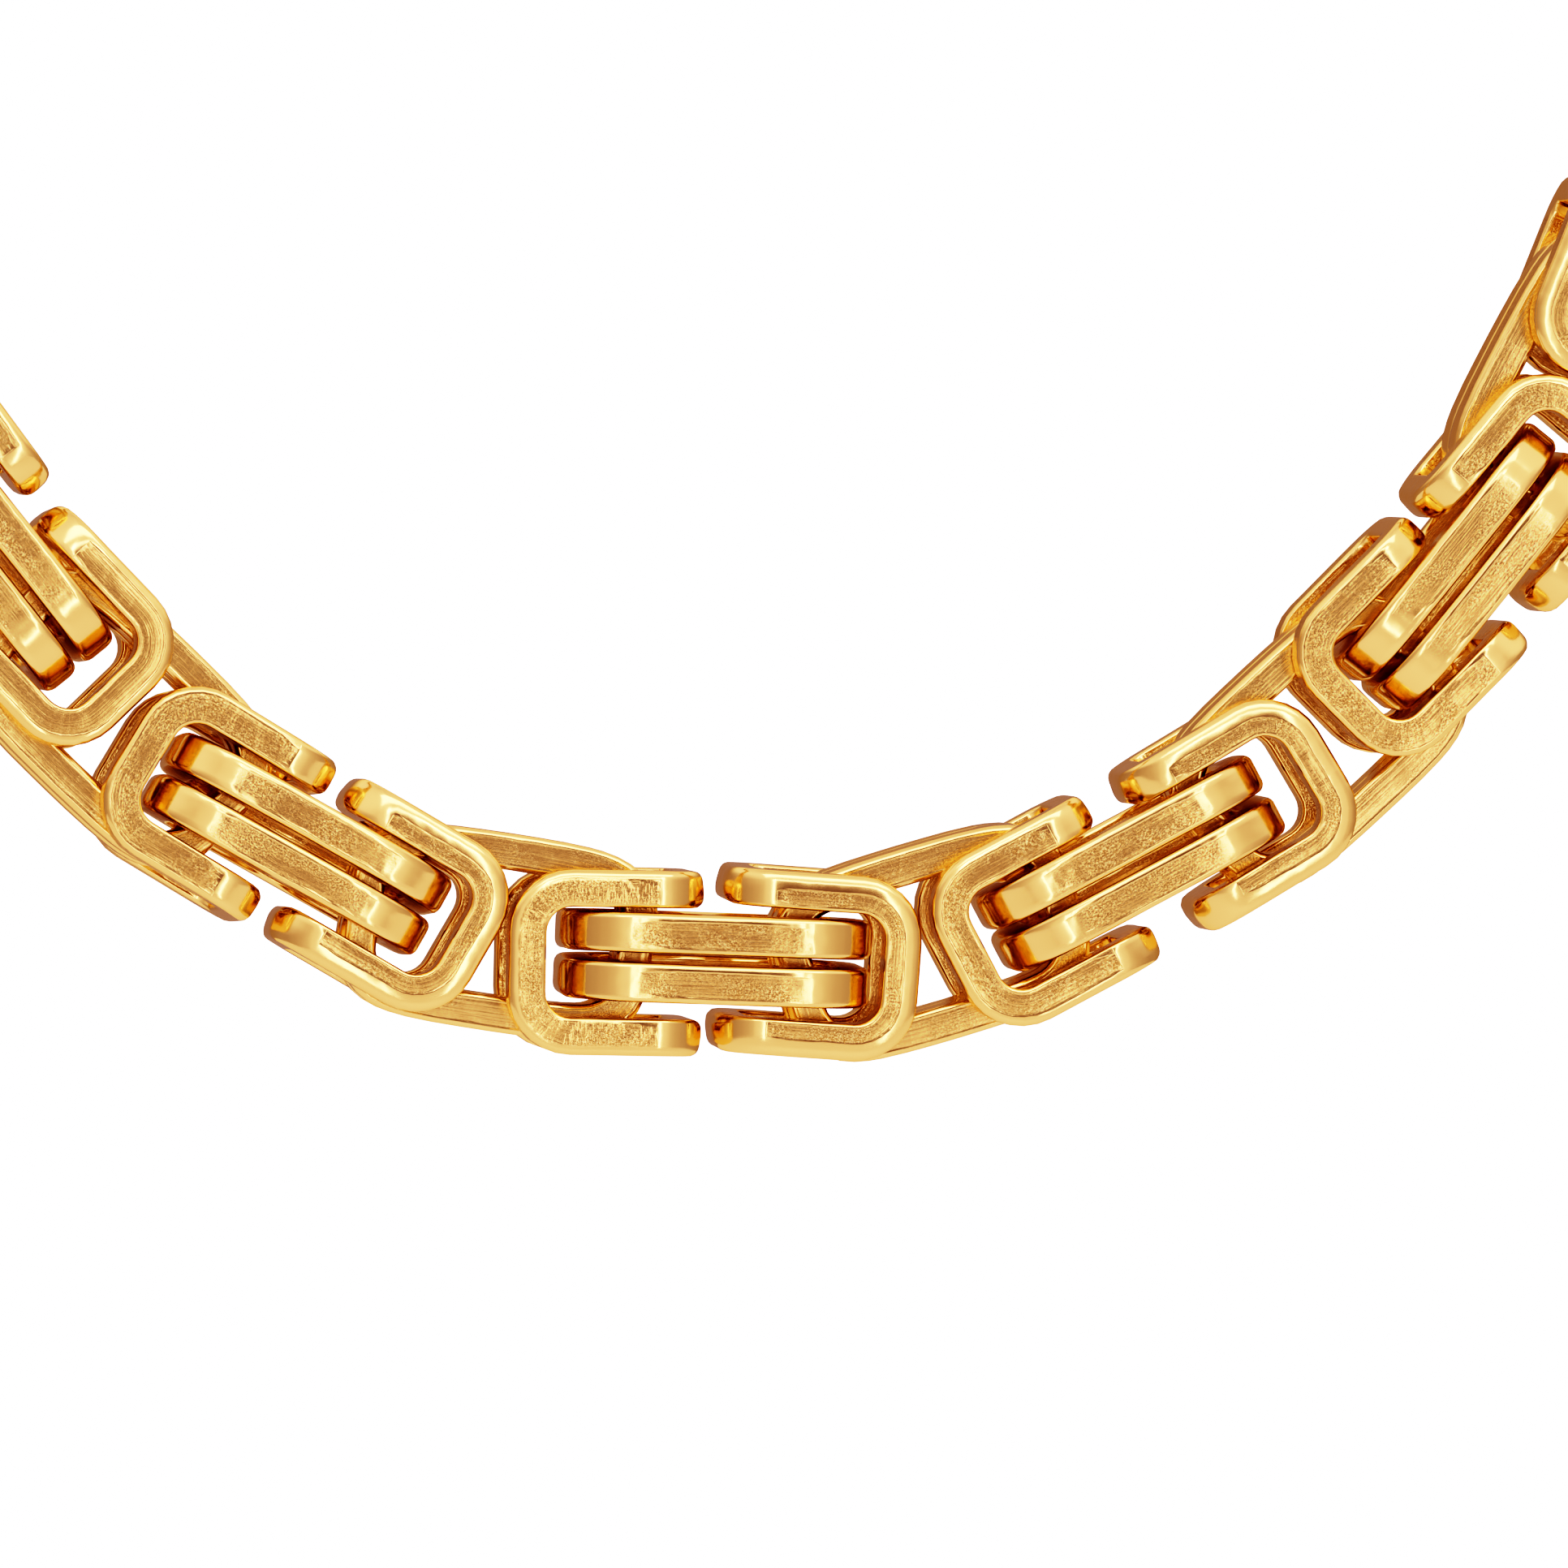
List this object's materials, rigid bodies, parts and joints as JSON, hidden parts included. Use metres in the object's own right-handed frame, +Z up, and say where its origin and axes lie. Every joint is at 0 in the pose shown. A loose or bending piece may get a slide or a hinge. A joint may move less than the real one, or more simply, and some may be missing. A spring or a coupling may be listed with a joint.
{
  "type": "byzantine chain necklace",
  "caption": "Heavy flat byzantine neck chain of paired stamped rings and folded links, gold-coloured, a whole loop hanging in a U with a plain clasp at the nape.",
  "frame": {"origin": "the nape: middle of the clasp's inner side, where the neck carries the chain", "axes": "+Z up, -Y to the front, +X to the right of someone who looks at the front"},
  "size_m": [0.1196, 0.0992, 0.1271],
  "materials": {
    "links": "gold plated, polished edges and bends, fine-grained flat faces",
    "clasp": "gold plated, satin"
  },
  "bodies": {
    "root": {"chain_right": "links", "chain_left": "links", "clasp": "clasp"}
  },
  "joints": []
}
